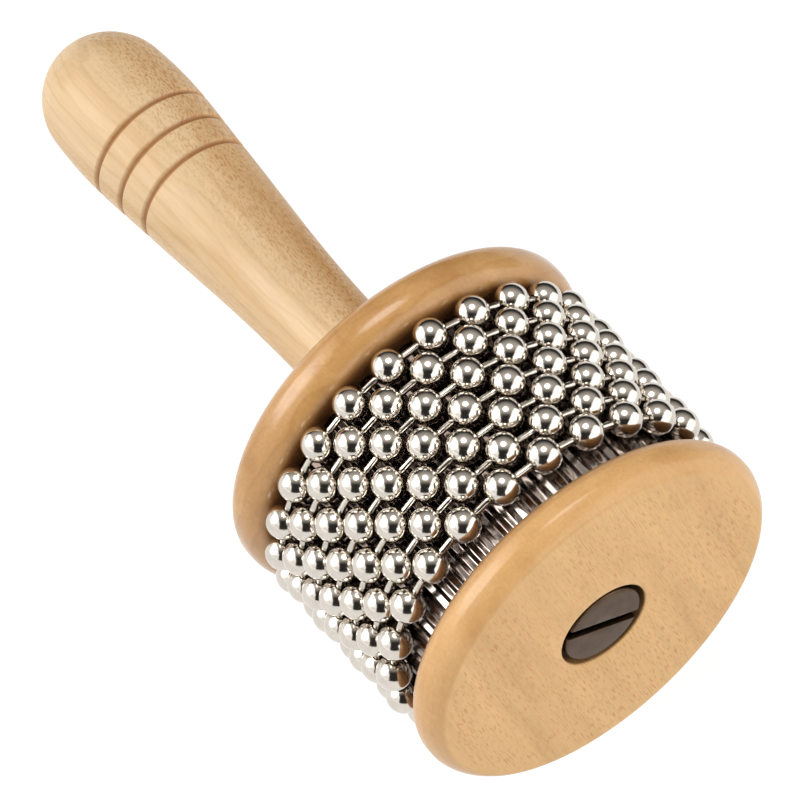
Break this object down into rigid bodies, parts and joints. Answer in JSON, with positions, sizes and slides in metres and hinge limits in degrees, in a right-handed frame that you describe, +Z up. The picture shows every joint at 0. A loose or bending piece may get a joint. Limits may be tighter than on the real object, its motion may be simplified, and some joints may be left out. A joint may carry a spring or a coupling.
{
  "type": "cabasa",
  "caption": "Hand percussion shaker: loops of ball chain turn round a corrugated steel drum held between two wooden discs on a turned wooden handle.",
  "frame": {"origin": "on the floor under the middle of the instrument's length, as it lies on the rims of its two discs", "axes": "+Z up; X is the axis of rotation, with the front disc and its bolt facing +X and the handle pointing to -X"},
  "size_m": [0.1702, 0.08, 0.08],
  "materials": {
    "handle_wood": "clear satin lacquer on pale maple or beech, grain along the handle",
    "disc_wood": "clear satin lacquer on beech with short dark flecks",
    "core_wood": "raw turned wood, hidden",
    "sleeve_steel": "bright rolled stainless sheet with fine lines along the ridges",
    "chain_nickel": "polished nickel plate",
    "link_nickel": "nickel plate",
    "bolt_bronze": "dark bronze finish, satin, faint turning marks",
    "washer_steel": "zinc plate, hidden",
    "insert_brass": "turned brass, hidden"
  },
  "bodies": {
    "frame": {"handle": "handle_wood", "handle_insert": "insert_brass", "rear_disc": "disc_wood", "core": "core_wood", "corrugated_sleeve": "sleeve_steel", "front_disc": "disc_wood", "center_bolt": "bolt_bronze", "bolt_washer": "washer_steel"},
    "chain_1": {"chain_1_beads": "chain_nickel", "chain_1_links": "link_nickel"},
    "chain_2": {"chain_2_beads": "chain_nickel", "chain_2_links": "link_nickel"},
    "chain_3": {"chain_3_beads": "chain_nickel", "chain_3_links": "link_nickel"},
    "chain_4": {"chain_4_beads": "chain_nickel", "chain_4_links": "link_nickel"},
    "chain_5": {"chain_5_beads": "chain_nickel", "chain_5_links": "link_nickel"},
    "chain_6": {"chain_6_beads": "chain_nickel", "chain_6_links": "link_nickel"},
    "chain_7": {"chain_7_beads": "chain_nickel", "chain_7_links": "link_nickel"}
  },
  "joints": [
    {"name": "chain_1_spin", "type": "hinge", "parent": "frame", "child": "chain_1", "pos_m": [0, 0, 0.04], "axis": [1, 0, 0], "continuous": true},
    {"name": "chain_2_spin", "type": "hinge", "parent": "frame", "child": "chain_2", "pos_m": [0, 0, 0.04], "axis": [1, 0, 0], "continuous": true},
    {"name": "chain_3_spin", "type": "hinge", "parent": "frame", "child": "chain_3", "pos_m": [0, 0, 0.04], "axis": [1, 0, 0], "continuous": true},
    {"name": "chain_4_spin", "type": "hinge", "parent": "frame", "child": "chain_4", "pos_m": [0, 0, 0.04], "axis": [1, 0, 0], "continuous": true},
    {"name": "chain_5_spin", "type": "hinge", "parent": "frame", "child": "chain_5", "pos_m": [0, 0, 0.04], "axis": [1, 0, 0], "continuous": true},
    {"name": "chain_6_spin", "type": "hinge", "parent": "frame", "child": "chain_6", "pos_m": [0, 0, 0.04], "axis": [1, 0, 0], "continuous": true},
    {"name": "chain_7_spin", "type": "hinge", "parent": "frame", "child": "chain_7", "pos_m": [0, 0, 0.04], "axis": [1, 0, 0], "continuous": true}
  ],
  "couplings": [
    {"joint": "chain_2_spin", "follows": "chain_1_spin", "ratio": 1},
    {"joint": "chain_3_spin", "follows": "chain_1_spin", "ratio": 1},
    {"joint": "chain_4_spin", "follows": "chain_1_spin", "ratio": 1},
    {"joint": "chain_5_spin", "follows": "chain_1_spin", "ratio": 1},
    {"joint": "chain_6_spin", "follows": "chain_1_spin", "ratio": 1},
    {"joint": "chain_7_spin", "follows": "chain_1_spin", "ratio": 1}
  ]
}
